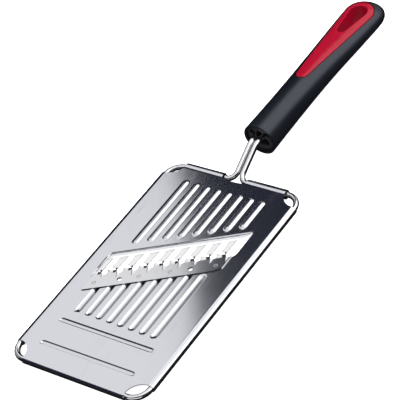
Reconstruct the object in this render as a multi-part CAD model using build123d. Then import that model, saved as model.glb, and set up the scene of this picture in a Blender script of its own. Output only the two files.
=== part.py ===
"""Hand-held julienne slicer: a pressed steel plate hemmed round one bent rod, a toothed
blade strip welded across its diagonal opening, and a moulded handle on the rod's two tangs.

Millimetres, +Z up, X across the plate, +Y towards the handle. The origin is the middle of
the slicer's footprint, on the surface that it lies on.
"""
from build123d import *
import os
from math import cos, radians, tan

# Plate and the rod that frames it
plate_width = 112.0
plate_length = 190.0
sheet = 0.6                      # plate thickness
rod_radius = 2.0
hem_gap = 0.03                   # air between the rod and the sheet wrapped round it
rod_corner = 11.0                # centre-line radius of the four bare corners
corner_bite = 11.2               # radius of the notch that bares each corner
bite_inset = (3.5, 2.5)          # notch centre, in from the plate's corner
hem_curl_end = -130.0            # where the rolled edge stops, degrees round the rod

# Twin tangs that run from the plate into the handle
tang_spacing = 4.6
tang_bend = 6.5
tang_rise = 11.23                # from the rod round the plate up to the handle
tang_top_y = 118.5               # where the ramp meets the straight tang
tang_knee = 12.0
tang_end_y = 165.0
tang_gap = 10.0                  # half-width of the hem's gap where the tangs leave
gap_edge_y = (90.4, 89.0)        # sheet edge in that gap, at its sides and its middle

# Diagonal opening and the blade strip
slant = tan(radians(30.5))       # rise of every diagonal line per mm across
opening_top = 28.6               # heights of the diagonal lines where they cross x = 0
opening_bottom = 5.5
strip_bottom = -7.7
strip_edge = 7.6                 # the strip's cutting edge, facing the handle
opening_left = -42.4
opening_right = 41.7
lip_drop = 2.8                   # turned-down edge along the opening's top and left
blade = 0.5                      # blade strip thickness
strip_left = -40.3
strip_right = 39.8
strip_chamfer = 4.6
tooth_x = [step * 9.0 - 0.8 for step in range(-4, 5)]
tooth_height = 5.4
tooth_root = 3.2                 # height of a tooth above the cutting edge
tooth_reach = (-3.0, 1.0, 10.1, 14.3)    # heel, root, top and foot of a tooth, past the edge
weld_radius = 1.3
weld_depth = 0.5
weld_sink = 0.08
weld_x = (-35.6, -9.5, 8.6, 34.7)
pin_hole_radius = 1.6
pin_hole_x = (-20.7, 20.3)
fastener_offset = 5.4            # welds and locating holes, above the strip's lower edge

# Pressed beads
bead_width = 4.6
bead_height = 1.0
bead_flank = 50.0                # slope of a bead's side from upright, degrees
bead_pitch = 9.0
bead_columns = [(i - 3.5) * bead_pitch for i in range(8)]
rib_top_y = 79.0
rib_offset = 5.8                 # raised ribs stop this far above the opening
groove_bottom_y = -48.2
groove_tuck = 2.5                # grooves run this far under the blade strip
groove_top_limit = 9.0
cross_groove_length = 77.0
cross_groove_width = 3.6
cross_groove_y = (-57.0, -77.4)

# Handle
grip_front_y = 124.7
grip_end_y = 275.0
grip_radius = 12.4
handle_axis = 6.0                # height of the handle's centre line above the plate
hand_stations = (                # y, half-width, half-height, drop of the centre
    (124.7, 12.4, 12.4, 0.0), (160.0, 12.2, 11.3, 0.0), (200.0, 13.1, 10.1, 0.0),
    (235.0, 15.0, 9.2, 0.6), (260.0, 16.0, 8.8, 1.0))
butt_start_y = 260.0
butt_steps = (0.0, 0.35, 0.6, 0.78, 0.9, 0.97)
butt_squareness = 2.3            # 2 would be a plain ellipse in plan
core_front_y = 126.1
core_end_y = 177.0
core_front_radius = 10.3
core_end_size = (9.6, 8.0)
core_pocket_depth = 7.0
inlay_tip = (184.0, 4.7)         # centre and radius of the inlay's round ends
inlay_butt = (256.8, 11.6)
inlay_depth = 3.2
loop_tip = (236.0, 3.6)          # centre and radius of the hanging hole's round ends
loop_butt = (256.5, 7.0)
liner_wall = 2.0

plate_y = -(grip_end_y - plate_length / 2) / 2
deck_z = grip_radius - handle_axis
place = Pos(0, plate_y, deck_z)

hem_radius = rod_radius + hem_gap + sheet
rod_x = plate_width / 2 - hem_radius
rod_y = plate_length / 2 - hem_radius
rod_z = -hem_radius
tang_z = rod_z + tang_rise


def on_line(height, x):
    """Point at x on the diagonal line that crosses x = 0 at this height."""
    return (x, height + slant * x)


def prism(face, z_low, z_high):
    """Upright solid of a flat outline between two heights."""
    return extrude(Pos(0, 0, z_low) * face, z_high - z_low)


def outline(*points):
    """Flat face through the points given."""
    return make_face(Polyline(*points, close=True))


def teardrop(tip, butt):
    """Outline round two circles on the Y axis, each given as (centre y, radius)."""
    circles = [Pos(0, y) * Circle(r) for y, r in (tip, butt)]
    return make_hull(circles[0].edges() + circles[1].edges())


def rod_frame():
    """One rod: tang, round the plate, and back along the other tang."""
    half = tang_spacing / 2
    left = [(-half, tang_end_y, tang_z), (-half, tang_top_y, tang_z), (-half, rod_y, rod_z),
            (-rod_x, rod_y, rod_z), (-rod_x, -rod_y, rod_z)]
    points = left + [(-x, y, z) for x, y, z in reversed(left)]
    radii = [tang_knee, tang_bend, rod_corner, rod_corner]
    path = FilletPolyline(*points, radius=radii + radii[::-1])
    start = Plane(origin=points[0], z_dir=(0, -1, 0))
    return sweep(start * Circle(rod_radius), path=path)


def hem_section():
    """Sheet rolled over and round the rod, seen along an edge that lies on +X."""
    ring = Circle(hem_radius) - Circle(hem_radius - sheet)
    reach = 3 * hem_radius
    low = reach * tan(radians(hem_curl_end + 180))
    inner = outline((0, 0), (0, reach), (-reach, reach), (-reach, -low))
    return ring - inner


def hem(length):
    """Straight hem on the +X side, centred on the rod, running along Y."""
    section = Plane(origin=(0, length / 2, 0), x_dir=(1, 0, 0), z_dir=(0, -1, 0)) * hem_section()
    return extrude(section, length)


def hems():
    """Rolled edges: two sides, the far end, and the handle end in two halves."""
    reach_x = plate_width / 2 - bite_inset[0] - corner_bite
    reach_y = plate_length / 2 - bite_inset[1] - corner_bite
    side = hem(2 * reach_y)
    far = hem(2 * reach_x)
    near = hem(reach_x - tang_gap)
    middle = (reach_x + tang_gap) / 2
    return [Pos(rod_x, 0, rod_z) * side,
            Pos(-rod_x, 0, rod_z) * Rot(0, 0, 180) * side,
            Pos(0, -rod_y, rod_z) * Rot(0, 0, -90) * far,
            Pos(middle, rod_y, rod_z) * Rot(0, 0, 90) * near,
            Pos(-middle, rod_y, rod_z) * Rot(0, 0, 90) * near]


def opening_face():
    """The diagonal opening's outline."""
    face = outline(on_line(opening_bottom, opening_left), on_line(opening_bottom, opening_right),
                   on_line(opening_top, opening_right), on_line(opening_top, opening_left))
    return fillet(face.vertices(), 1.5)


def bead_pair(length, width, up):
    """Solid to add and hollow to cut for a bead pressed up or down, lying along Y."""
    slot = Rot(0, 0, 90) * SlotOverall(length, width)
    skin = Rot(0, 0, 90) * SlotOverall(length - sheet, width - sheet)
    bump = extrude(slot, bead_height, taper=bead_flank)
    hollow = extrude(skin, bead_height, taper=bead_flank)
    if up:
        return bump, Pos(0, 0, -sheet) * hollow
    return Pos(0, 0, -sheet) * Rot(0, 180, 0) * bump, Rot(0, 180, 0) * hollow


def bead_places():
    """Every pressed bead as (position, turn, length, width, raised)."""
    beads = []
    for x in bead_columns:
        low = opening_top + rib_offset + slant * x
        beads.append(((x, (rib_top_y + low) / 2), 0, rib_top_y - low, bead_width, True))
        high = min(strip_bottom + groove_tuck + slant * x, groove_top_limit)
        middle = (groove_bottom_y + high) / 2
        beads.append(((x, middle), 0, high - groove_bottom_y, bead_width, False))
    for y in cross_groove_y:
        beads.append(((0, y), 90, cross_groove_length, cross_groove_width, False))
    return beads


def fastener_point(x):
    """Place of a weld or locating hole along the strip."""
    return (x, strip_bottom + fastener_offset + slant * x)


def slicer_plate():
    """Pressed sheet with rolled hems, beads and a turned-down lip on its opening."""
    face = Rectangle(2 * rod_x, 2 * rod_y)
    for sx in (-1, 1):
        for sy in (-1, 1):
            centre = (sx * (plate_width / 2 - bite_inset[0]), sy * (plate_length / 2 - bite_inset[1]))
            face -= Pos(*centre) * Circle(corner_bite)
    gap = [Line((tang_gap, gap_edge_y[0]), (tang_gap, rod_y + 1)),
           Line((tang_gap, rod_y + 1), (-tang_gap, rod_y + 1)),
           Line((-tang_gap, rod_y + 1), (-tang_gap, gap_edge_y[0])),
           ThreePointArc((-tang_gap, gap_edge_y[0]), (0, gap_edge_y[1]), (tang_gap, gap_edge_y[0]))]
    face -= make_face(gap)
    face -= opening_face()
    for x in pin_hole_x:
        face -= Pos(*fastener_point(x)) * Circle(pin_hole_radius)
    plate = prism(face, -sheet, 0)
    for (x, y), turn, length, width, raised in bead_places():
        add, cut = bead_pair(length, width, raised)
        seat = Pos(x, y, 0) * Rot(0, 0, turn)
        plate = plate + seat * add - seat * cut
    edge_drop = sheet / cos(radians(30.5))
    lip = outline(on_line(opening_top, opening_left), on_line(opening_top, opening_right - 2),
                  on_line(opening_top - edge_drop, opening_right - 2),
                  on_line(opening_top - edge_drop, opening_left + sheet),
                  on_line(opening_bottom, opening_left + sheet), on_line(opening_bottom, opening_left))
    plate += prism(lip, -lip_drop, 0)
    for roll in hems():
        plate += roll
    for x in weld_x:
        plate -= Pos(*fastener_point(x), -weld_depth) * Cylinder(
            weld_radius, weld_depth, align=(Align.CENTER, Align.CENTER, Align.MIN))
    return plate


def tooth(x):
    """Upright tooth, rooted on the strip and reaching out over the opening."""
    heel, root, top, foot = [strip_edge + slant * x + reach for reach in tooth_reach]
    profile = outline((heel, 0), (root, tooth_root), (top, tooth_height), (foot, blade), (foot, 0))
    side = Plane(origin=(x - blade / 2, 0, 0), x_dir=(0, 1, 0), z_dir=(1, 0, 0))
    return extrude(side * profile, blade)


def julienne_blade():
    """Flat strip with a row of upright teeth past its cutting edge."""
    face = outline(on_line(strip_bottom, strip_left),
                   on_line(strip_bottom, strip_right - strip_chamfer),
                   (strip_right, strip_bottom + slant * strip_right + 1.8),
                   on_line(strip_edge, strip_right), on_line(strip_edge, strip_left))
    for x in pin_hole_x:
        face -= Pos(*fastener_point(x)) * Circle(pin_hole_radius)
    for x in weld_x:
        face -= Pos(*fastener_point(x)) * Circle(weld_radius)
    strip = prism(face, 0, blade)
    for x in tooth_x:
        strip += tooth(x)
    return strip


def spot_welds():
    """Fused nuggets that hold the strip on the plate, sunk slightly below its face."""
    height = weld_depth + blade - weld_sink
    nugget = Cylinder(weld_radius, height, align=(Align.CENTER, Align.CENTER, Align.MIN))
    return [Pos(*fastener_point(x), -weld_depth) * nugget for x in weld_x]


def ellipse_at(y, half_width, half_height, height):
    """Cross-section of the handle, standing across Y."""
    plane = Plane(origin=(0, y, height), x_dir=(1, 0, 0), z_dir=(0, 1, 0))
    return plane * Ellipse(half_width, half_height)


def hand_solid():
    """The whole outside of the handle, round at the front and flat and wide at the butt."""
    body = loft([ellipse_at(y, a, b, handle_axis - drop) for y, a, b, drop in hand_stations])
    _, a, b, drop = hand_stations[-1]
    caps = []
    for t in butt_steps:
        narrow = (1 - t ** butt_squareness) ** (1 / butt_squareness)
        thin = (1 - t ** 2) ** 0.5
        y = butt_start_y + t * (grip_end_y - butt_start_y)
        caps.append(ellipse_at(y, a * narrow, b * thin, handle_axis - drop))
    nose_length = (1 - butt_steps[-1]) * (grip_end_y - butt_start_y)
    return body + loft(caps, ruled=True) + extrude(caps[-1], nose_length, dir=(0, 1, 0))


def core_solid():
    """Outside of the hard inner core."""
    front = ellipse_at(core_front_y, core_front_radius, core_front_radius, handle_axis)
    end = ellipse_at(core_end_y, *core_end_size, handle_axis)
    return loft([front, end])


def tang_holes():
    """The rod's own shape inside the handle."""
    holes = []
    for side in (-1, 1):
        plane = Plane(origin=(side * tang_spacing / 2, tang_end_y, tang_z), z_dir=(0, -1, 0))
        holes.append(extrude(plane * Circle(rod_radius), tang_end_y - core_front_y + 4))
    return holes


def core_pockets():
    """Moulding pockets in the core's front: a slot round the tangs and three round ones."""
    plane = Plane(origin=(0, core_front_y, handle_axis), x_dir=(1, 0, 0), z_dir=(0, -1, 0))
    slot = SlotOverall(2 * tang_spacing + 6, 6.6)
    pockets = [plane * Pos(0, tang_z - handle_axis) * slot]
    pockets += [plane * Pos(x, -4.2) * Circle(2.4) for x in (-5.8, 0, 5.8)]
    return [extrude(pocket, core_pocket_depth, both=True) for pocket in pockets]


def handle_core():
    """Hard core moulded on the tangs."""
    core = core_solid()
    for cut in core_pockets() + tang_holes():
        core -= cut
    return core


def loop_hole():
    """The hanging hole, right through the butt."""
    return prism(teardrop(loop_tip, loop_butt), -20, 40)


def loop_inlay(hand):
    """Second-colour piece: a tongue let into the top, and a liner through the hole."""
    top = prism(teardrop(inlay_tip, inlay_butt), handle_axis, 40)
    under = Pos(0, 0, -inlay_depth) * hand
    tongue = (hand & top) - under
    liner = prism(teardrop((loop_tip[0], loop_tip[1] + liner_wall),
                           (loop_butt[0], loop_butt[1] + liner_wall)), -20, 40) & hand
    return tongue + liner - loop_hole()


def handle_grip(hand, inlay):
    """Outer grip: the hand shape less its core, its inlay and the hanging hole."""
    grip = hand - inlay - loop_hole()
    recess = ellipse_at(grip_front_y - 1, core_front_radius, core_front_radius, handle_axis)
    grip -= extrude(recess, core_front_y - grip_front_y + 1, dir=(0, 1, 0))
    return grip - core_solid()


def save(shape, node):
    """Put a piece, or a list of like pieces, in its place and write it."""
    pieces = shape if isinstance(shape, list) else [shape]
    placed = [place * solid for piece in pieces for solid in piece.solids()]
    export_step(placed[0] if len(placed) == 1 else Compound(children=placed), f"parts/{node}.step")


os.makedirs("parts", exist_ok=True)
hand = hand_solid()
inlay = loop_inlay(hand)
save(rod_frame(), "wire_frame")
save(slicer_plate(), "slicer_plate")
save(julienne_blade(), "julienne_blade")
save(spot_welds(), "spot_welds")
save(handle_core(), "handle_core")
save(inlay, "loop_inlay")
save(handle_grip(hand, inlay), "handle_grip")
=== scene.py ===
from math import cos, hypot, pi, radians, sin, sqrt, tan

import bmesh
import bpy
import numpy as np
from mathutils import Matrix, Vector


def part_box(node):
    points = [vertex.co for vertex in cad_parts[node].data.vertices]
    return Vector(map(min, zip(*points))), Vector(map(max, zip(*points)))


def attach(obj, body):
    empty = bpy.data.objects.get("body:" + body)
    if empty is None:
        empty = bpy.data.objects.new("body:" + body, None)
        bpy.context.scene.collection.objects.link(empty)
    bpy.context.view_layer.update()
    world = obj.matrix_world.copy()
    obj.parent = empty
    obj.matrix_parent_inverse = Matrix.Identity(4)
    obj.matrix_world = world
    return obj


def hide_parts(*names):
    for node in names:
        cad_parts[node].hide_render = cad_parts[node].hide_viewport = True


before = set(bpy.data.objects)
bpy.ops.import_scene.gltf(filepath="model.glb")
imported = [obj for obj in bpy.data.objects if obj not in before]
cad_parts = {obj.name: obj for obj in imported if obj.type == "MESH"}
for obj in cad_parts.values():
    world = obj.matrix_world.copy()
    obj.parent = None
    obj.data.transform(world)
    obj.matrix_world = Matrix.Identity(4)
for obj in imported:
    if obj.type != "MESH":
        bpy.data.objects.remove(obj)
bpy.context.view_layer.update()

# ---------------------------------------------------------------------------------------
# Frame rod: one length of polished 4 mm stainless rod, bent cold. It leaves the handle as
# a tang, kinks down to the plate, runs round the plate's edge and comes back as the second
# tang. Sizes here are in mm from the middle of the plate's face; `seat` puts them in place.
# ---------------------------------------------------------------------------------------
plate_low, plate_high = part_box("slicer_plate")
plate_half_x = (plate_high.x - plate_low.x) * 500
plate_half_y = (plate_high.y - plate_low.y) * 500
bead_height = 1.0
deck_height = plate_high.z * 1000 - bead_height
plate_middle = (plate_high.y + plate_low.y) * 500
seat = Matrix.Scale(0.001, 4) @ Matrix.Translation((0, plate_middle, deck_height))

rod_radius = 2.0
sheet = 0.6
hem_radius = rod_radius + 0.03 + sheet
rod_x = plate_half_x - hem_radius
rod_y = plate_half_y - hem_radius
shoulder_drop = 0.3
rod_z = -hem_radius - shoulder_drop
rod_corner = 11.0
tang_x = 2.3
tang_bend = 6.5
tang_knee = 12.0
tang_z = 8.6
tang_top_y = 118.5
tang_end_y = 164.5


class Flow:
    """One socket in a node tree. Its operators add Math nodes, and make() adds any other node."""

    def __init__(self, tree, socket=None):
        self.tree = tree
        self.socket = socket

    def make(self, kind, settings=None, inputs=None):
        node = self.tree.nodes.new(kind)
        for name, value in (settings or {}).items():
            if name == "stops":
                ramp = node.color_ramp.elements
                while len(ramp) < len(value):
                    ramp.new(0.5)
                for stop, (place, shade) in zip(ramp, value):
                    stop.position = place
                    stop.color = shade
            else:
                setattr(node, name, value)
        for name, value in (inputs or {}).items():
            if isinstance(value, Flow):
                self.tree.links.new(value.socket, node.inputs[name])
            else:
                node.inputs[name].default_value = value
        return Flow(self.tree, node.outputs[0] if node.outputs else None)

    def out(self, name):
        return Flow(self.tree, self.socket.node.outputs[name])

    def math(self, operation, *values):
        return self.make("ShaderNodeMath", {"operation": operation}, dict(enumerate(values)))

    def __add__(self, other):
        return self.math("ADD", self, other)

    def __radd__(self, other):
        return self.math("ADD", other, self)

    def __sub__(self, other):
        return self.math("SUBTRACT", self, other)

    def __rsub__(self, other):
        return self.math("SUBTRACT", other, self)

    def __mul__(self, other):
        return self.math("MULTIPLY", self, other)

    def __rmul__(self, other):
        return self.math("MULTIPLY", other, self)

    def __truediv__(self, other):
        return self.math("DIVIDE", self, other)

    def __abs__(self):
        return self.math("ABSOLUTE", self)

    def root(self):
        return self.math("SQRT", self)

    def at_least(self, other):
        return self.math("MAXIMUM", self, other)

    def at_most(self, other):
        return self.math("MINIMUM", self, other)

    def band(self, low, high, start=0.0, end=1.0):
        """Start below low, end above high, smooth between."""
        ends = {"Value": self, "From Min": low, "From Max": high, "To Min": start, "To Max": end}
        return self.make("ShaderNodeMapRange", {"interpolation_type": "SMOOTHSTEP"}, ends)

    def tint(self, low, high):
        """The colour between two colours at this value, from 0 to 1."""
        mixed = self.make("ShaderNodeMix", {"data_type": "RGBA"}, {0: self, 6: low, 7: high})
        return Flow(self.tree, mixed.socket.node.outputs[2])


def growth_tree(name, sizes):
    """A Geometry Nodes tree that takes a mesh and a number for each name in sizes."""
    tree = bpy.data.node_groups.new(name, "GeometryNodeTree")
    tree.interface.new_socket("Geometry", in_out="INPUT", socket_type="NodeSocketGeometry")
    tree.interface.new_socket("Geometry", in_out="OUTPUT", socket_type="NodeSocketGeometry")
    for label in sizes:
        tree.interface.new_socket(label, in_out="INPUT", socket_type="NodeSocketFloat")
    return Flow(tree).make("NodeGroupInput")


def end_tree(flow, finish):
    """Makes the tree's instances real, sets their material, and ends the tree there."""
    real = flow.make("GeometryNodeRealizeInstances", None, {"Geometry": flow})
    dressed = flow.make("GeometryNodeSetMaterial", None, {"Geometry": real, "Material": finish})
    flow.make("NodeGroupOutput", None, {"Geometry": dressed})
    return flow.tree


def grow(start, tree=None, sizes=None, wall=0.0, wall_side=0.0, even=True, rim_bevel=0.0):
    """Runs a tree, a wall and a bevel on a starting mesh, and returns the plain mesh made."""
    seed = bpy.data.objects.new("seed", start)
    bpy.context.scene.collection.objects.link(seed)
    if tree:
        growth = seed.modifiers.new("growth", "NODES")
        growth.node_group = tree
        for item in tree.interface.items_tree:
            if item.in_out == "INPUT" and item.name in sizes:
                growth[item.identifier] = float(sizes[item.name])
    if wall:
        thicken = seed.modifiers.new("wall", "SOLIDIFY")
        thicken.thickness = wall
        thicken.offset = wall_side
        thicken.use_even_offset = even
    if rim_bevel:
        ease = seed.modifiers.new("rim", "BEVEL")
        ease.width = rim_bevel
        ease.segments = 2
        ease.limit_method = "ANGLE"
        ease.angle_limit = radians(55)
    graph = bpy.context.evaluated_depsgraph_get()
    made = bpy.data.meshes.new_from_object(seed.evaluated_get(graph))
    bpy.data.objects.remove(seed)
    return made


def seated(name, mesh, finish, crease=38):
    """Puts a mesh made in mm in its place in the frame, with its creases and its material."""
    mesh.transform(seat)
    shape = bmesh.new()
    shape.from_mesh(mesh)
    for face in shape.faces:
        face.smooth = True
        face.material_index = 0
    for edge in shape.edges:
        edge.smooth = len(edge.link_faces) != 2 or edge.calc_face_angle(0) < radians(crease)
    shape.to_mesh(mesh)
    shape.free()
    mesh.materials.clear()
    mesh.materials.append(finish)
    piece = bpy.data.objects.new(name, mesh)
    bpy.context.scene.collection.objects.link(piece)
    return piece


def new_finish(name, **constants):
    """A material with its Principled shader's constants set, and a Flow to build on it."""
    finish = bpy.data.materials.new(name)
    finish.use_nodes = True
    shader = finish.node_tree.nodes["Principled BSDF"]
    for label, value in constants.items():
        shader.inputs[label.replace("_", " ").title().replace("Ior", "IOR")].default_value = value
    flow = Flow(finish.node_tree, shader.outputs[0])
    return finish, shader, flow


def feed(flow, shader, **channels):
    """Joins values that change over the surface to the shader's sockets."""
    for label, value in channels.items():
        flow.tree.links.new(value.socket, shader.inputs[label.replace("_", " ").title()])


def stretched(flow, x, y, z, detail=3.0, roughness=0.5):
    """Noise on Object coordinates, with its own number of cells per metre along each axis."""
    place = flow.make("ShaderNodeTexCoord").out("Object")
    mapped = flow.make("ShaderNodeMapping", None, {"Vector": place, "Scale": (x, y, z)})
    return flow.make("ShaderNodeTexNoise", None,
                     {"Vector": mapped, "Scale": 1.0, "Detail": detail, "Roughness": roughness})


def steel(name, colour, rough, grain, cloud=0.05, bump=0.15):
    """Stainless steel: fine drawing lines, cloudy polish and faint handling marks. The grain
    is the number of lines per metre along each axis."""
    finish, shader, flow = new_finish(name, metallic=1.0)
    lines = stretched(flow, *grain, detail=4.0)
    clouds = stretched(flow, 38, 38, 38, detail=2.0)
    smears = stretched(flow, 90, 22, 90, detail=5.0, roughness=0.7).band(0.56, 0.75)
    tone = (smears * 0.35 + lines * 0.25).tint((*colour, 1), (*[part * 0.86 for part in colour], 1))
    relief = {"Strength": bump, "Distance": 0.00002, "Height": lines}
    feed(flow, shader, base_color=tone,
         roughness=rough + (clouds - 0.5) * cloud + (lines - 0.5) * 0.06 + smears * 0.05,
         normal=flow.make("ShaderNodeBump", None, relief))
    return finish


half_path = [(-tang_x, tang_end_y, tang_z, tang_knee), (-tang_x, tang_top_y, tang_z, tang_knee),
             (-tang_x, rod_y, rod_z, tang_bend), (-rod_x, rod_y, rod_z, rod_corner),
             (-rod_x, -rod_y, rod_z, rod_corner)]
rod_path = half_path + [(-x, y, z, bend) for x, y, z, bend in reversed(half_path)]
route = bpy.data.meshes.new("rod_route")
route.from_pydata([point[:3] for point in rod_path], [(i, i + 1) for i in range(len(rod_path) - 1)], [])
bend = route.attributes.new("bend", "FLOAT", "POINT")
bend.data.foreach_set("value", [point[3] for point in rod_path])

rod_steel = steel("polished_rod_steel", (0.66, 0.66, 0.67), 0.13, (900, 900, 900), cloud=0.04)
rod_sizes = {"Rod radius": rod_radius, "Bend steps": 26, "Sides": 36}
given = growth_tree("bent_rod", rod_sizes)
line = given.make("GeometryNodeMeshToCurve", None, {0: given})
named = given.make("GeometryNodeInputNamedAttribute", {"data_type": "FLOAT"}, {"Name": "bend"})
line = given.make("GeometryNodeFilletCurve", {"mode": "POLY"}, {
    "Curve": line, "Count": given.out("Bend steps"), "Radius": named, "Limit Radius": True})
ring = given.make("GeometryNodeCurvePrimitiveCircle", None,
                  {"Resolution": given.out("Sides"), "Radius": given.out("Rod radius")})
skin = given.make("GeometryNodeCurveToMesh", None,
                  {"Curve": line, "Profile Curve": ring, "Fill Caps": True})
rod = seated("wire_frame_rod", grow(route, end_tree(skin, rod_steel), rod_sizes), rod_steel)
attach(rod, "root")
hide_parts("wire_frame")

# ---------------------------------------------------------------------------------------
# Plate: one sheet of 0.6 mm stainless, pierced and pressed in one stroke, with its edges
# rolled round the rod. Raised ribs lead up to the slot and grooves lead away from it. The
# slot's upper and left edges are turned down, and the corners are notched to bare the rod.
# ---------------------------------------------------------------------------------------
slant_angle = radians(30.5)
slant = tan(slant_angle)
pitch = 9.0
opening_top = 28.6
opening_bottom = 5.5
opening_middle = (opening_top + opening_bottom) / 2
opening_left = -42.4
opening_right = 41.7
opening_corner = 2.0
strip_bottom = -7.7
bite_radius = 11.2
bite_x = plate_half_x - 3.5
bite_y = plate_half_y - 2.5
hem_end_x = bite_x - sqrt(bite_radius ** 2 - (bite_y - rod_y) ** 2)
hem_end_y = bite_y - sqrt(bite_radius ** 2 - (bite_x - rod_x) ** 2)
tang_gap = 10.0
gap_foot = 88.3
gap_rise = 1.1
curl_y = 91.8
curl_z = -2.45
curl_radius = 3.05
curl_foot = 89.3
shoulder = 1.6
shoulder_turn = 0.9
pin_radius = 1.6
pin_x = (-20.7, 20.3)
pin_up = 5.4
press = {"Pitch": pitch, "Half width": 2.35, "Height": bead_height, "Slant": slant,
         "Rib top": 79.0, "Rib foot": opening_top + 5.8, "Groove foot": -48.2,
         "Groove top": strip_bottom + 2.5, "Groove limit": 9.0, "Cross reach": 38.4,
         "Cross half width": 1.85, "Cross wall": 0.8, "Near cross": -57.0, "Far cross": -77.4}


def rulings(*stretches):
    """Grid lines along one axis, from stretches of (start, end, spacing)."""
    parts = []
    for start, end, spacing in stretches:
        count = max(1, round((end - start) / spacing))
        parts.append(np.linspace(start, end, count + 1)[:-1])
    return np.concatenate(parts + [[stretches[-1][1]]])


def slotted(x, y):
    """Distance outside the diagonal opening, negative inside it."""
    middle = (opening_left + opening_right) / 2
    half = (opening_right - opening_left) / 2
    up = (y - slant * x - opening_middle) * cos(slant_angle)
    reach_x = np.abs(x - middle) - half + opening_corner
    reach_y = np.abs(up) - (opening_top - opening_bottom) / 2 * cos(slant_angle) + opening_corner
    outside = np.hypot(np.maximum(reach_x, 0), np.maximum(reach_y, 0))
    return outside + np.minimum(np.maximum(reach_x, reach_y), 0) - opening_corner


def pin_holes(x, y):
    """Distance outside the two locating holes."""
    return np.minimum.reduce([
        np.hypot(x - place, y - strip_bottom - pin_up - slant * place) - pin_radius
        for place in pin_x])


def deck_solid(x, y):
    """Positive on the sheet, negative in its notches, gap, slot and holes."""
    bites = np.hypot(np.abs(x) - bite_x, np.abs(y) - bite_y) - bite_radius
    gap = np.maximum(np.abs(x) - tang_gap, gap_foot + gap_rise * (x / tang_gap) ** 2 - y)
    return np.minimum.reduce([bites, gap, slotted(x, y), pin_holes(x, y)])


def uphill(solid, x, y):
    """Value and gradient of a solid's distance."""
    step = 0.005
    right = (solid(x + step, y) - solid(x - step, y)) / (2 * step)
    up = (solid(x, y + step) - solid(x, y - step)) / (2 * step)
    return solid(x, y), right, up


def trim(x, y, solid):
    """Keeps the grid's faces that lie on the solid, and draws its edge points onto the edge.
    Returns the moved points and which faces are kept."""
    centre_x = (x[:-1, :-1] + x[1:, :-1] + x[:-1, 1:] + x[1:, 1:]) / 4
    centre_y = (y[:-1, :-1] + y[1:, :-1] + y[:-1, 1:] + y[1:, 1:]) / 4
    kept = solid(centre_x, centre_y) > 0
    touched = np.zeros(x.shape, int)
    for rows, columns in ((slice(None, -1), slice(None, -1)), (slice(1, None), slice(None, -1)),
                          (slice(None, -1), slice(1, None)), (slice(1, None), slice(1, None))):
        touched[rows, columns] += np.where(kept, 1, 10)
    edge = (touched > 10) & (touched % 10 > 0)
    x, y = x.copy(), y.copy()
    for _ in range(4):
        value, right, up = uphill(solid, x[edge], y[edge])
        steep = np.maximum(right ** 2 + up ** 2, 0.2)
        x[edge] -= value * right / steep
        y[edge] -= value * up / steep
    return x, y, kept


def add_patch(shape, points, kept=None):
    """Adds a grid of points, rows by columns by 3, as faces."""
    rows, columns = points.shape[:2]
    corners = {}

    def corner(i, j):
        if (i, j) not in corners:
            corners[i, j] = shape.verts.new(points[i, j])
        return corners[i, j]

    for i in range(rows - 1):
        for j in range(columns - 1):
            if kept is None or kept[i, j]:
                shape.faces.new((corner(i, j), corner(i, j + 1),
                                 corner(i + 1, j + 1), corner(i + 1, j)))


def closed_up(shape, face_up=True):
    """Joins the patches of an open sheet, turns its faces one way, and returns the mesh."""
    bmesh.ops.remove_doubles(shape, verts=shape.verts, dist=0.004)
    bmesh.ops.dissolve_degenerate(shape, dist=0.002, edges=shape.edges)
    bmesh.ops.recalc_face_normals(shape, faces=shape.faces)
    highest = max(shape.faces, key=lambda face: abs(face.normal.z) * face.calc_area())
    if face_up and highest.normal.z < 0:
        bmesh.ops.reverse_faces(shape, faces=shape.faces)
    mesh = bpy.data.meshes.new("sheet")
    shape.to_mesh(mesh)
    shape.free()
    return mesh


# The flat deck, on rulings that are close where something is pressed and wide elsewhere.
columns = rulings((-rod_x, -rod_x + shoulder, 0.3), (-rod_x + shoulder, -hem_end_x, 0.8),
                  (-hem_end_x, -36, 0.6), (-36, 36, 0.5), (36, hem_end_x, 0.6),
                  (hem_end_x, rod_x - shoulder, 0.8), (rod_x - shoulder, rod_x, 0.3))
rows = rulings((-rod_y, -rod_y + shoulder, 0.3), (-rod_y + shoulder, -hem_end_y, 0.7),
               (-hem_end_y, -79.9, 0.7), (-79.9, -74.9, 0.23), (-74.9, -59.6, 2.6),
               (-59.6, -54.5, 0.23), (-54.5, -51.5, 1.2), (-51.5, -43, 0.55),
               (-43, -12, 3.1), (-12, 0.3, 0.5), (0.3, opening_bottom, 1.3),
               (opening_bottom, opening_top - 2.4, 2.3), (opening_top - 2.4, opening_top, 0.6),
               (opening_top, 34, 1.8), (34, 37.6, 0.45), (37.6, 75.4, 3.2), (75.4, 79.6, 0.5),
               (79.6, hem_end_y, 0.8), (hem_end_y, curl_foot, 0.6))
shear = np.interp(rows, (-54, -14, 40, 78), (0, 1, 1, 0))
grid_x = np.tile(columns, (len(rows), 1))
grid_y = rows[:, None] + slant * grid_x * shear[:, None]
deck_x, deck_y, kept = trim(grid_x, grid_y, deck_solid)
plate_shape = bmesh.new()
margin = np.maximum(np.abs(deck_x) - rod_x, -deck_y - rod_y) + shoulder
fall = 1 - np.sqrt(1 - np.clip(margin / shoulder, 0, 1) ** 2 * shoulder_turn)
deck_z = -sheet / 2 - shoulder_drop * fall / (1 - sqrt(1 - shoulder_turn))
add_patch(plate_shape, np.dstack([deck_x, deck_y, deck_z]), kept)

# The slot's turned-down lip: full along the top and left, dying away at its ends.
lip_bend = 0.75
lip_depth = 2.5
lip_profile = [(lip_bend * sin(turn), lip_bend * (1 - cos(turn))) for turn in (0.4, 0.8, 1.2, pi / 2)]
lip_profile += [(lip_bend, lip_depth * 0.6), (lip_bend, lip_depth)]


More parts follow.
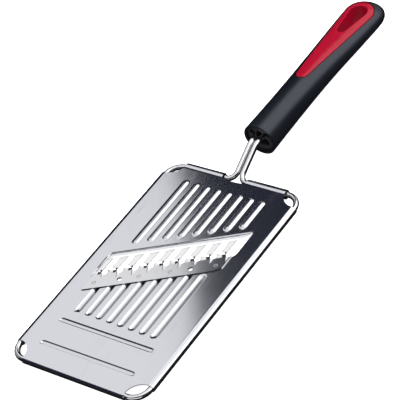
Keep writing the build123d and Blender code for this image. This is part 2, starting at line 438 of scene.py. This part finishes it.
def lip_share(x, y):
    """How much of the lip stands at a point on the slot's edge."""
    up = y - slant * x
    along_top = np.interp(x, (36, 41.0), (1, 0.25)) if up > opening_top - 3 else 1
    along_left = np.interp(up, (opening_bottom + 1, opening_bottom + 6), (0.2, 1))
    return float(along_top * along_left)


lip = [edge for edge in plate_shape.edges if edge.is_boundary and all(
    abs(slotted(v.co.x, v.co.y)) < 0.06 and (v.co.y - slant * v.co.x > opening_top - 0.7
                                             or v.co.x < opening_left + 1.9) for v in edge.verts)]
start = {vert: vert.co.copy() for edge in lip for vert in edge.verts}
origin = {vert: vert for vert in start}
for inward, drop in lip_profile:
    new = bmesh.ops.extrude_edge_only(plate_shape, edges=lip)["geom"]
    fresh = [item for item in new if isinstance(item, bmesh.types.BMVert)]
    lip = [item for item in new if isinstance(item, bmesh.types.BMEdge)]
    lip = [edge for edge in lip if all(vert in fresh for vert in edge.verts)]
    moved = {}
    for vert in fresh:
        beside = [edge.other_vert(vert) for edge in vert.link_edges]
        below = min((other for other in beside if other in origin),
                    key=lambda other: (other.co - vert.co).length)
        moved[vert] = origin[below]
    for vert, base in moved.items():
        rest = start[base]
        _, right, up = uphill(slotted, rest.x, rest.y)
        share = lip_share(rest.x, rest.y)
        length = hypot(right, up)
        vert.co = (rest.x - right / length * inward * share, rest.y - up / length * inward * share,
                   rest.z - drop * share)
    origin = moved

# The rolled edges: the sheet runs on over the rod, round its outside and back under it.
roll_radius = rod_radius + 0.03 + sheet / 2
turns = np.radians(np.linspace(90, -132, 21))
roll_out = roll_radius * np.cos(turns)
roll_up = rod_z + roll_radius * np.sin(turns)
side_rows = (np.abs(grid_y[:, 0]) <= hem_end_y + 0.01, np.abs(grid_y[:, -1]) <= hem_end_y + 0.01)
for side, column, keep_rows in ((-1, 0, side_rows[0]), (1, -1, side_rows[1])):
    ends = grid_y[keep_rows, column]
    add_patch(plate_shape, np.dstack([
        np.tile(side * (rod_x + roll_out), (len(ends), 1)),
        np.tile(ends[:, None], (1, len(turns))),
        np.tile(roll_up, (len(ends), 1))]))
across = columns[np.abs(columns) <= hem_end_x + 0.01]
curl_turns = np.radians(np.linspace(136, -132, 26))
curl_out = np.concatenate([[curl_foot], curl_y + curl_radius * np.cos(curl_turns)])
curl_up = np.concatenate([[-sheet / 2], curl_z + curl_radius * np.sin(curl_turns)])
for out, up, run in ((-(rod_y + roll_out), roll_up, across),
                     (curl_out, curl_up, across[across <= -tang_gap + 0.01]),
                     (curl_out, curl_up, across[across >= tang_gap - 0.01])):
    add_patch(plate_shape, np.dstack([
        np.tile(run[:, None], (1, len(out))),
        np.tile(out, (len(run), 1)),
        np.tile(up, (len(run), 1))]))


def plan_of(flow):
    """Object coordinates in mm: across the plate, up from the slant, and above the deck."""
    place = flow.make("ShaderNodeTexCoord").out("Object")
    spot = flow.make("ShaderNodeSeparateXYZ", None, {"Vector": place})
    x = spot * 1000
    return x, spot.out("Y") * 1000 - plate_middle - x * slant, spot.out("Z") * 1000 - deck_height


def hole_wall_shade(x, up):
    """Painted shade mask: 1 on the walls of the two locating holes, 0 elsewhere."""
    middle, reach = sum(pin_x) / 2, (pin_x[1] - pin_x[0]) / 2
    off_x = x - middle - x.math("SIGN", x - middle) * reach
    off_y = up - strip_bottom - pin_up + off_x * slant
    return (off_x * off_x + off_y * off_y).root().band(pin_radius + 0.06, pin_radius + 0.16, 1, 0)


def paint_shade(finish, mask):
    """Paints shade into a steel's colour: mixes a dark tone in where the mask is 1."""
    shader = finish.node_tree.nodes["Principled BSDF"]
    bright = Flow(finish.node_tree, shader.inputs["Base Color"].links[0].from_socket)
    feed(bright, shader, base_color=mask.tint(bright, (0.03, 0.03, 0.033, 1)))


plate_steel = steel("satin_plate_steel", (0.62, 0.63, 0.655), 0.125, (2600, 60, 2600),
                    cloud=0.04, bump=0.03)
x, up, z = plan_of(Flow(plate_steel.node_tree))
# Painted shade on the plate: dark lines along the lip's fold and the slot's left edge, and dark walls in
# the locating holes, standing in for the shade the steel mirrors there.
fold_shade_line = abs(up - opening_top + 0.25).band(0.22, 0.5, 1, 0) * x.band(-4, 22, 1, 0) * x.band(-42, -41)
side_shade_line = abs(x - opening_left - 0.25).band(0.2, 0.5, 1, 0) * up.band(13, 15) * up.band(24, 26, 1, 0)
paint_shade(plate_steel, fold_shade_line.at_least(side_shade_line).at_least(hole_wall_shade(x, up)))
given = growth_tree("press_beads", press)
place = given.make("ShaderNodeSeparateXYZ", None, {"Vector": given.make("GeometryNodeInputPosition")})
x, y = place, place.out("Y")
size = {label: given.out(label) for label in press}


def bead(off_x, off_y, half_width):
    """A pressed bead's height at a distance from its spine: a dome with an eased foot."""
    dome = 1 - (off_x * off_x + off_y * off_y) / (half_width * half_width)
    return (dome + (dome * dome + 0.005).root()) * 0.5


column = (given.math("FLOOR", x / size["Pitch"]).at_least(-4).at_most(3) + 0.5) * size["Pitch"]
rib_foot = size["Rib foot"] + size["Slant"] * column + size["Half width"]
rib_off = (y - size["Rib top"] + size["Half width"]).at_least(rib_foot - y).at_least(0)
groove_top = (size["Groove top"] + size["Slant"] * column).at_most(size["Groove limit"])
groove_off = (y - groove_top + size["Half width"]).at_least(
    size["Groove foot"] + size["Half width"] - y)
height = bead(x - column, rib_off, size["Half width"])
height = height - bead(x - column, groove_off.at_least(0), size["Half width"])
for label in ("Near cross", "Far cross"):
    past = (abs(x) - size["Cross reach"] + size["Cross half width"]).at_least(0)
    off = (past * past + (y - size[label]) * (y - size[label])).root()
    wall_top = size["Cross half width"]
    height = height - off.band(wall_top - size["Cross wall"], wall_top, 0.95, 0.0)
lift = given.make("ShaderNodeCombineXYZ", None, {"Z": height * size["Height"]})
pressed = given.make("GeometryNodeSetPosition", None, {"Geometry": given, "Offset": lift})
plate_mesh = grow(closed_up(plate_shape), end_tree(pressed, plate_steel), press, wall=sheet)
plate = seated("pressed_plate", plate_mesh, plate_steel)
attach(plate, "root")
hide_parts("slicer_plate")

# ---------------------------------------------------------------------------------------
# Blade: a 0.5 mm strip of hardened stainless laid along the slot's lower edge. Its upper
# side is slit into tabs, each folded upright into a tooth that cuts the food lengthwise.
# It is bowed a little, so that its lower edge stands just off the plate.
# ---------------------------------------------------------------------------------------
blade = 0.5
strip_left = -40.3
strip_right = 39.8
strip_chamfer = 4.6
tooth_shift = -0.8
tooth_x = [step * pitch + tooth_shift for step in range(-4, 5)]
tooth_width = 4.6
tooth_reach = 21.9
tooth_rake = 0.9
slot_foot = 5.6
slot_half = (pitch - tooth_width) / 2
fold_at = 8.4
relief_half = 0.2
fold_angle = radians(86)
lift_angle = radians(20)
strip_lean = 0.011


def nearest_tooth(x):
    """The fold line of the tooth that a point of the strip belongs to."""
    steps = np.ceil((x - tooth_x[0] - slot_half) / pitch)
    return np.clip(steps, 0, len(tooth_x) - 1) * pitch + tooth_x[0]


def strip_solid(x, y):
    """Positive on the strip and its tabs while they are still flat."""
    up = y - slant * x
    lean = cos(slant_angle)
    tooth = nearest_tooth(x)
    reach = tooth_reach - tooth_rake * np.clip(tooth - x, 0, tooth_width)
    past_teeth = np.where(x > tooth_x[-1] + 0.02, (9.0 - up) * lean, 99.0)
    cut = strip_right - strip_chamfer
    chamfer = (y - strip_bottom - slant * cut - (x - cut)) * 0.72 + 40.0 * (x < strip_right - 6.0)
    body = np.minimum.reduce([(up - strip_bottom) * lean, (reach - up) * lean, x - strip_left,
                              strip_right - x, past_teeth, chamfer])
    slots = []
    for base in tooth_x:
        middle = base + slot_half
        foot_up = y - slot_foot - slot_half - slant * middle
        slots.append(np.hypot(x - middle, np.minimum(foot_up, 0)) - slot_half)
    relief = np.maximum(np.abs(up - fold_at) - relief_half, x - tooth + 0.5)
    return np.minimum.reduce([body, relief, pin_holes(x, y)] + slots)


columns = rulings((strip_left - 0.4, strip_right + 0.4, 0.36))
rows = rulings((strip_bottom - 0.4, 0.8, 0.55), (0.8, fold_at - 0.6, 0.4),
               (fold_at - 0.6, fold_at + 0.6, 0.13), (fold_at + 0.6, tooth_reach + 0.5, 0.6))
grid_x = np.tile(columns, (len(rows), 1))
grid_y = rows[:, None] + slant * grid_x
flat_x, flat_y, kept = trim(grid_x, grid_y, strip_solid)
arm = np.clip(nearest_tooth(flat_x) - flat_x, 0, tooth_width)
flat_up = flat_y - slant * flat_x
fold = np.interp(flat_up, (slot_foot, fold_at - relief_half, fold_at + relief_half),
                 (0, lift_angle, fold_angle))
rest_z = blade / 2 + 0.01 + strip_lean * np.maximum(slot_foot - flat_up, 0)
blade_shape = bmesh.new()
add_patch(blade_shape, np.dstack([
    flat_x + arm * (1 - np.cos(fold)), flat_y, rest_z + arm * np.sin(fold)]), kept)
blade_steel = steel("hardened_blade_steel", (0.66, 0.66, 0.67), 0.13, (60, 2600, 2600),
                    cloud=0.04, bump=0.04)
x, up, z = plan_of(Flow(blade_steel.node_tree))
# Painted shade on the blade: dark lines along the teeth's folds, dark spots at their hinges, and dark
# walls in the locating holes.
from_fold = x - x.math("ROUND", (x - tooth_shift) / pitch) * pitch - tooth_shift
crease = abs(from_fold).band(0.25, 0.5, 1, 0) * up.band(7.5, 9.0) * z.band(0.5, 0.9, 1, 0)
hinge_shade_x = (from_fold + 0.4) / 1.05
hinge_shade_up = (up - 7.6) / 2.0
hinge_shade = (hinge_shade_x * hinge_shade_x + hinge_shade_up * hinge_shade_up).band(0.7, 1.2, 1, 0) * z.band(1.8, 2.4, 1, 0)
paint_shade(blade_steel, crease.at_least(hinge_shade).at_least(hole_wall_shade(x, up)))
strip = seated("toothed_blade_strip", grow(closed_up(blade_shape), wall=blade, even=False), blade_steel)
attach(strip, "root")
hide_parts("julienne_blade")

# ---------------------------------------------------------------------------------------
# Spot welds: four dished nuggets where the electrodes pinched strip and plate together,
# each with a faint raised ring of displaced metal.
# ---------------------------------------------------------------------------------------
weld_x = (-35.6, -9.5, 8.6, 34.7)
weld_spots = bpy.data.meshes.new("weld_spots")
weld_z = blade / 2 + strip_lean * (slot_foot - strip_bottom - pin_up)
weld_spots.from_pydata([(x, strip_bottom + pin_up + slant * x, weld_z) for x in weld_x], [], [])
weld_steel = steel("welded_steel", (0.5, 0.5, 0.51), 0.32, (1500, 1500, 1500))
weld_sizes = {"Radius": 1.5, "Depth": 0.5, "Ring": 0.07}
given = growth_tree("pinch_welds", weld_sizes)
disc = given.make("GeometryNodeMeshCylinder", None, {
    "Vertices": 32, "Side Segments": 1, "Fill Segments": 7, "Radius": given.out("Radius"),
    "Depth": given.out("Depth")})
spot = given.make("ShaderNodeSeparateXYZ", None, {"Vector": given.make("GeometryNodeInputPosition")})
out_from = (spot * spot + spot.out("Y") * spot.out("Y")).root() / given.out("Radius")
crest = out_from.band(0.45, 0.8) * (1 - out_from.band(0.8, 1.0)) * 1.6 - 0.35
lift = given.make("ShaderNodeCombineXYZ", None, {"Z": crest * given.out("Ring")})
above = spot.out("Z").band(-0.01, 0.01)
lift = given.make("ShaderNodeVectorMath", {"operation": "SCALE"}, {0: lift, "Scale": above})
dished = given.make("GeometryNodeSetPosition", None, {"Geometry": disc, "Offset": lift})
welds = given.make("GeometryNodeInstanceOnPoints", None, {"Points": given, "Instance": dished})
weld_mesh = grow(weld_spots, end_tree(welds, weld_steel), weld_sizes)
nuggets = seated("spot_weld_nuggets", weld_mesh, weld_steel)
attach(nuggets, "root")
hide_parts("spot_welds")

# ---------------------------------------------------------------------------------------
# Handle core: hard black plastic moulded straight onto the tangs. Only its front shows,
# sunk a little inside the grip's rim, with a slot round the tangs and three pockets.
# ---------------------------------------------------------------------------------------
core_low, core_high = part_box("handle_core")
core_front = core_low.y * 1000 - plate_middle
core_radius = (core_high.z - core_low.z) * 500
axis_z = (core_high.z + core_low.z) * 500 - deck_height
core_length = 9.0
pocket_depth = 5.0


def ring_of(centre, radius, count=28, stretch=0.0):
    """Points round a circle, or round a slot when it is stretched along X."""
    points = []
    for i in range(count):
        turn = 2 * pi * (i + 0.5) / count
        points.append((centre[0] + radius * cos(turn) + (stretch if cos(turn) > 0 else -stretch),
                       centre[1] + radius * sin(turn)))
    return points


def flat_block(outlines, depth, bevel):
    """A flat outline with holes, given depth and eased edges, as a mesh standing on z = 0."""
    curve = bpy.data.curves.new("block", "CURVE")
    curve.dimensions = "2D"
    curve.fill_mode = "BOTH"
    curve.extrude = depth / 2 - bevel
    curve.bevel_depth = bevel
    curve.bevel_resolution = 2
    curve.offset = -bevel
    for outline in outlines:
        spline = curve.splines.new("POLY")
        spline.points.add(len(outline) - 1)
        for point, (x, y) in zip(spline.points, outline):
            point.co = (x, y, 0, 1)
        spline.use_cyclic_u = True
    block = bpy.data.objects.new("block", curve)
    bpy.context.scene.collection.objects.link(block)
    graph = bpy.context.evaluated_depsgraph_get()
    mesh = bpy.data.meshes.new_from_object(block.evaluated_get(graph))
    bpy.data.objects.remove(block)
    mesh.transform(Matrix.Translation((0, 0, depth / 2)))
    return mesh


tang_drop = tang_z - axis_z
pockets = [ring_of((0, tang_drop), 3.1, 40, stretch=tang_x + 0.9)]
pockets += [ring_of((x, -4.4), 2.3) for x in (-5.9, 0, 5.9)]
core_face = flat_block([ring_of((0, 0), core_radius - 0.05, 72)] + pockets, pocket_depth, 0.35)
core_back = flat_block([ring_of((0, 0), core_radius - 0.05, 72)], core_length - pocket_depth, 0.3)
core_back.transform(Matrix.Translation((0, 0, pocket_depth - 0.02)))
core_shape = bmesh.new()
core_shape.from_mesh(core_face)
core_shape.from_mesh(core_back)
bmesh.ops.remove_doubles(core_shape, verts=core_shape.verts, dist=0.001)
bmesh.ops.rotate(core_shape, verts=core_shape.verts, matrix=Matrix.Rotation(radians(-90), 3, "X"))
bmesh.ops.translate(core_shape, verts=core_shape.verts, vec=(0, core_front, axis_z))
core_mesh = bpy.data.meshes.new("core")
core_shape.to_mesh(core_mesh)
core_shape.free()

core_plastic, shader, flow = new_finish("core_plastic", roughness=0.5, ior=1.49)
specks = stretched(flow, 2500, 2500, 2500, detail=2.0)
tone = flow.make("ShaderNodeValToRGB", {"stops": [
    (0.3, (0.010, 0.010, 0.012, 1)), (0.7, (0.018, 0.018, 0.021, 1))]}, {"Fac": specks})
feed(flow, shader, base_color=tone, roughness=0.44 + specks * 0.14,
     normal=flow.make("ShaderNodeBump", None, {"Strength": 0.3, "Distance": 0.00003, "Height": specks}))
core = seated("handle_core_moulding", core_mesh, core_plastic)
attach(core, "root")
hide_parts("handle_core")

# ---------------------------------------------------------------------------------------
# Grip: black satin plastic moulded over the core. It is round at the front and grows wide
# and flat at the butt. Its skin is cut out on top for the red inlay and below for the
# hanging hole, and is turned in at the front to a 2 mm wall.
# ---------------------------------------------------------------------------------------
grip_front = 124.7
butt_from = 260.0
grip_end = 275.0
butt_squareness = 2.3
hand_y = np.array((grip_front, 160.0, 200.0, 235.0, butt_from))
hand_width = np.array((12.4, 12.2, 13.1, 15.0, 15.95))
hand_height = np.array((12.38, 11.3, 10.1, 9.2, 8.8))
hand_drop = np.array((0.0, 0.0, 0.0, 0.6, 1.0))
inlay_tip = (184.0, 4.7)
inlay_butt = (256.8, 11.6)
loop_tip = (236.0, 3.6)
loop_butt = (256.5, 7.0)
liner_wall = 2.0
groove = 0.3
grip_wall = 2.05


def glide(y, values):
    """Smooth curve through the hand sections, level at both ends."""
    slope = np.gradient(values, hand_y)
    slope[0] = (values[1] - values[0]) / (hand_y[1] - hand_y[0])
    slope[-1] = 0
    y = np.clip(y, hand_y[0], hand_y[-1])
    span = np.clip(np.searchsorted(hand_y, y, side="right") - 1, 0, len(hand_y) - 2)
    width = hand_y[span + 1] - hand_y[span]
    t = (y - hand_y[span]) / width
    level = (2 * t ** 3 - 3 * t ** 2 + 1) * values[span] + (3 * t ** 2 - 2 * t ** 3) * values[span + 1]
    return level + ((t ** 3 - 2 * t ** 2 + t) * slope[span] + (t ** 3 - t ** 2) * slope[span + 1]) * width


def hand_section(y):
    """Half-width, half-height and centre height of the hand shape."""
    past = np.clip((y - butt_from) / (grip_end - butt_from), 0, 1)
    narrow = (1 - past ** butt_squareness) ** (1 / butt_squareness)
    return (glide(y, hand_width) * narrow, glide(y, hand_height) * np.sqrt(1 - past ** 2),
            axis_z - glide(y, hand_drop))


def hand_surface(x, y, side):
    """Height of the hand shape's top (side 1) or underside (side -1)."""
    width, height, middle = hand_section(y)
    share = np.clip(np.abs(x) / np.maximum(width, 1e-6), 0, 1)
    return middle + side * height * np.sqrt(1 - share ** 2)


def teardrop(x, y, tip, butt, grow_by=0.0):
    """Distance outside a teardrop drawn round two circles on the handle's centre line."""
    (tip_y, tip_radius), (butt_y, butt_radius) = tip, butt
    span = butt_y - tip_y
    taper = (tip_radius - butt_radius) / span
    level = sqrt(1 - taper ** 2)
    across, along = np.abs(x), y - tip_y
    where = along * level - across * taper
    flank = across * level + along * taper - tip_radius
    return np.where(where < 0, np.hypot(across, along) - tip_radius, np.where(
        where > level * span, np.hypot(across, along - span) - butt_radius, flank)) - grow_by


liner_tip = (loop_tip[0], loop_tip[1] + liner_wall)
liner_butt = (loop_butt[0], loop_butt[1] + liner_wall)
stations = rulings((grip_front, 175, 1.3), (175, butt_from + 1, 0.8))
cap = butt_from + (grip_end - butt_from) * np.sin(np.linspace(0.09, pi / 2, 26))
stations = np.concatenate([stations, cap])
grip_shape = bmesh.new()
for side, cut in ((1, lambda x, y: teardrop(x, y, inlay_tip, inlay_butt, groove)),
                  (-1, lambda x, y: teardrop(x, y, liner_tip, liner_butt, groove))):
    share = np.sin(np.linspace(-pi / 2, pi / 2, 75))
    width, _, _ = hand_section(stations)
    grid_x = width[:, None] * share[None, :]
    grid_y = np.tile(stations[:, None], (1, len(share)))
    edge_x, edge_y, kept = trim(grid_x, grid_y, cut)
    add_patch(grip_shape, np.dstack([edge_x, edge_y, hand_surface(edge_x, edge_y, side)]), kept)
grip_mesh = grow(closed_up(grip_shape, face_up=False), wall=grip_wall, wall_side=-1, rim_bevel=0.65)

grip_plastic, shader, flow = new_finish("grip_plastic", ior=1.5, specular_tint=(0.82, 0.89, 1.0, 1))
pebble = stretched(flow, 1700, 1700, 1700, detail=3.0, roughness=0.6)
wear = stretched(flow, 45, 20, 45, detail=3.0).band(0.45, 0.75)
tone = flow.make("ShaderNodeValToRGB", {"stops": [
    (0.25, (0.0020, 0.0024, 0.0046, 1)), (0.75, (0.0042, 0.0049, 0.0088, 1))]}, {"Fac": pebble})
feed(flow, shader, base_color=tone, roughness=0.30 + pebble * 0.10 - wear * 0.04,
     normal=flow.make("ShaderNodeBump", None, {"Strength": 0.5, "Distance": 0.0001, "Height": pebble}))
grip = seated("handle_grip_shell", grip_mesh, grip_plastic, crease=50)
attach(grip, "root")
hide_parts("handle_grip")

# ---------------------------------------------------------------------------------------
# Inlay: glossy red plastic shot into the grip's recess. Its tongue lies flush with the
# grip behind a hairline groove, and it turns down through the butt to line the hanging
# hole, coming out as a ring underneath.
# ---------------------------------------------------------------------------------------
def teardrop_points(tip, butt, shrink, count=220):
    """Evenly spaced points round a teardrop, starting at the butt's far end."""
    tip_radius, butt_radius = tip[1] - shrink, butt[1] - shrink
    lean = np.arcsin((butt_radius - tip_radius) / (butt[0] - tip[0]))
    butt_arc = np.linspace(pi / 2, -lean, 60)
    tip_arc = np.linspace(-lean, -pi / 2, 30)
    half = np.concatenate([
        np.column_stack([butt_radius * np.cos(butt_arc), butt[0] + butt_radius * np.sin(butt_arc)]),
        np.column_stack([tip_radius * np.cos(tip_arc), tip[0] + tip_radius * np.sin(tip_arc)])])
    outline = np.concatenate([half, half[-2:0:-1] * (-1, 1), half[:1]])
    along = np.concatenate([[0], np.cumsum(np.hypot(*np.diff(outline, axis=0).T))])
    places = np.linspace(0, along[-1], count + 1)[:-1]
    return np.column_stack([np.interp(places, along, outline[:, axis]) for axis in (0, 1)])


tongue_edge = teardrop_points(inlay_tip, inlay_butt, 0.22)
hole_edge = teardrop_points(loop_tip, loop_butt, 0.0)
ring_edge = teardrop_points(liner_tip, liner_butt, 0.1)
tongue_depth = 1.9
edge_ease = 0.45
hole_ease = 1.3
ring_ease = 0.7
ring_rim = 0.3
flush = 1e-6


def inlay_loop(outer, inner, distance, drop, side):
    """One loop of the skin: a distance from the inner edge (or, below 0, from the outer)."""
    reach = inner - outer
    length = np.hypot(reach[:, 0], reach[:, 1])
    share = 1 - distance / length if distance >= 0 else -distance / length
    plan = outer + reach * share[:, None]
    level = hand_surface(plan[:, 0], plan[:, 1], side) - side * drop
    return np.column_stack([plan, level])


bevels = np.linspace(0, pi / 2, 5)
loops = [inlay_loop(tongue_edge, hole_edge, -flush, tongue_depth, 1)]
loops += [inlay_loop(tongue_edge, hole_edge, -edge_ease * (1 - cos(turn)) - flush,
                     edge_ease * (1 - sin(turn)), 1) for turn in bevels]
near = inlay_loop(tongue_edge, hole_edge, -edge_ease, 0, 1)[:, :2]
far = inlay_loop(tongue_edge, hole_edge, hole_ease, 0, 1)[:, :2]
for share in np.linspace(0, 1, 14)[1:-1]:
    plan = near + (far - near) * share
    loops.append(np.column_stack([plan, hand_surface(plan[:, 0], plan[:, 1], 1)]))
loops += [inlay_loop(tongue_edge, hole_edge, hole_ease * (1 - sin(turn)),
                     hole_ease * (1 - cos(turn)), 1) for turn in np.linspace(0, pi / 2, 8)]
top_rim = loops[-1][:, 2]
low_rim = inlay_loop(ring_edge, hole_edge, 0, ring_ease, -1)[:, 2]
for share in (0.2, 0.4, 0.6, 0.8):
    loops.append(np.column_stack([hole_edge, top_rim + (low_rim - top_rim) * share]))
loops += [inlay_loop(ring_edge, hole_edge, ring_ease * (1 - cos(turn)),
                     ring_ease * (1 - sin(turn)), -1) for turn in bevels]
loops += [inlay_loop(ring_edge, hole_edge, -ring_rim - flush, 0, -1),
          inlay_loop(ring_edge, hole_edge, -flush, 0.25, -1),
          inlay_loop(ring_edge, hole_edge, -flush, tongue_depth, -1)]
skin = np.array(loops)
skin = np.concatenate([skin, skin[:1]])
skin = np.concatenate([skin, skin[:, :1]], axis=1)
inlay_shape = bmesh.new()
add_patch(inlay_shape, skin)
inlay_mesh = closed_up(inlay_shape, face_up=False)

inlay_plastic, shader, flow = new_finish("red_inlay_plastic", ior=1.3)
ripple = stretched(flow, 160, 90, 160, detail=2.0)
specks = stretched(flow, 2200, 2200, 2200, detail=2.0)
tone = flow.make("ShaderNodeValToRGB", {"stops": [
    (0.3, (0.235, 0.0012, 0.0120, 1)), (0.7, (0.275, 0.0018, 0.0160, 1))]}, {"Fac": ripple})
feed(flow, shader, base_color=tone, roughness=0.17 + ripple * 0.06 + specks * 0.04,
     normal=flow.make("ShaderNodeBump", None, {"Strength": 0.2, "Distance": 0.00003, "Height": specks}))
inlay = seated("hanging_loop_inlay", inlay_mesh, inlay_plastic, crease=50)
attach(inlay, "root")
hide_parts("loop_inlay")

# ---------------------------------------------------------------------------------------
# Floor: a plain pale sweep of white laminate, lit from below as a light table is. What the
# steel mirrors of it is dark, as black cards would make it, but for a band under the slot,
# which glows in reflections only: a painted reflection.
# ---------------------------------------------------------------------------------------
floor_half = 6.0
floor_mesh = bpy.data.meshes.new("floor")
floor_mesh.from_pydata([(-floor_half, -floor_half, 0), (floor_half, -floor_half, 0),
                        (floor_half, floor_half, 0), (-floor_half, floor_half, 0)], [], [(0, 1, 2, 3)])
floor = bpy.data.objects.new("floor", floor_mesh)
bpy.context.scene.collection.objects.link(floor)
floor_finish, shader, flow = new_finish("pale_floor", base_color=(0.9, 0.9, 0.9, 1), roughness=0.9)
shader.inputs["Specular IOR Level"].default_value = 0.0
across, up, _ = plan_of(flow)
# Painted reflection: a band of floor under the slot glows for reflected rays only, so the teeth and slot
# walls mirror white.
reflected_glow_band = abs(across).band(52, 54, 1, 0) * abs(up - opening_middle).band(13, 15.5, 1, 0)
glow = flow.make("ShaderNodeEmission", None, {"Color": (1, 1, 1, 1), "Strength": 0.9})
lit = flow.make("ShaderNodeAddShader", None, {0: Flow(flow.tree, shader.outputs[0]), 1: glow})
shade = flow.make("ShaderNodeEmission", None, {"Color": (1, 1, 1, 1), "Strength": reflected_glow_band * 1.3 + 0.01})
rays = flow.make("ShaderNodeLightPath")
mixed = flow.make("ShaderNodeMixShader", None, {0: rays.out("Is Glossy Ray"), 1: lit, 2: shade})
flow.tree.links.new(mixed.socket, flow.tree.nodes["Material Output"].inputs["Surface"])
floor_mesh.materials.append(floor_finish)

# ---------------------------------------------------------------------------------------
# Light: one large softbox overhead to the left and one to the right, with a dark gap between
# them that the plate's far corner mirrors. A narrow one fills the near end of the gap, and
# low ones stand behind, beside and in front, in an even pale room.
# ---------------------------------------------------------------------------------------
softbox_height = 0.6
box_edge = Vector((-0.533, 0.404, softbox_height))
edge_out = Vector((0.767, 0.641, 0))
edge_run = Vector((0.641, -0.767, 0))


def softbox(name, middle, out, width, length, radiance, tip=0):
    """A soft light facing down, or tipped up to face across, `width` along `out`."""
    lamp = bpy.data.lights.new(name, "AREA")
    lamp.shape = "RECTANGLE"
    lamp.size = width
    lamp.size_y = length
    lamp.energy = radiance * pi * width * length
    light = bpy.data.objects.new(name, lamp)
    light.matrix_world = Matrix.Translation(middle) @ Matrix((
        (out.x, -out.y, 0, 0), (out.y, out.x, 0, 0), (0, 0, 1, 0), (0, 0, 0, 1))) \
        @ Matrix.Rotation(radians(tip), 4, "X")
    light.visible_camera = False
    bpy.context.scene.collection.objects.link(light)


softbox("left_softbox", box_edge - edge_out * 0.225 + edge_run * 0.45, edge_out, 0.45, 1.3, 1.07)
softbox("right_softbox", box_edge + edge_out * 1.04 + edge_run * 0.55, edge_out, 1.4, 1.1, 2.2)
softbox("near_softbox", box_edge + edge_out * 0.18 + edge_run * 0.69, edge_out, 0.34, 0.9, 1.3)
softbox("back_softbox", Vector((0.35, 1.3, 0.55)), Vector((-1, 0, 0)), 1.7, 0.9, 0.55, tip=90)
softbox("side_softbox", Vector((-1.3, -0.45, 0.5)), Vector((0, -1, 0)), 1.1, 0.8, 0.4, tip=90)
softbox("front_softbox", Vector((0.22, -0.9, 0.15)), Vector((0.97, 0.24, 0)), 1.1, 0.28, 1.6, tip=80)

room = bpy.data.worlds.new("room")
bpy.context.scene.world = room
room.use_nodes = True
air = Flow(room.node_tree, room.node_tree.nodes["Background"].outputs[0])
rays = air.make("ShaderNodeLightPath")
shade = rays.out("Is Glossy Ray").tint((1, 1, 1, 1), (0.018, 0.021, 0.038, 1))
room.node_tree.links.new(shade.socket, room.node_tree.nodes["Background"].inputs["Color"])
bpy.context.scene.view_settings.view_transform = "Standard"

# ---------------------------------------------------------------------------------------
# Camera: a long lens from the front right, looking down at the slicer, turned on its axis
# so that the tool lies from the lower left to the upper right.
# ---------------------------------------------------------------------------------------
eye = Vector((0.70075, -0.65428, 0.80837))
ahead = Vector((-0.57256, 0.50666, -0.64457)).normalized()
right = Vector((0.78937, 0.55310, -0.26642))
right = (right - ahead * right.dot(ahead)).normalized()
top = right.cross(ahead)
lens = bpy.data.cameras.new("camera")
lens.sensor_width = 36.0
lens.lens = 169.2
camera = bpy.data.objects.new("camera", lens)
camera.matrix_world = Matrix((
    (right.x, top.x, -ahead.x, eye.x), (right.y, top.y, -ahead.y, eye.y),
    (right.z, top.z, -ahead.z, eye.z), (0, 0, 0, 1)))
bpy.context.scene.collection.objects.link(camera)
bpy.context.scene.camera = camera
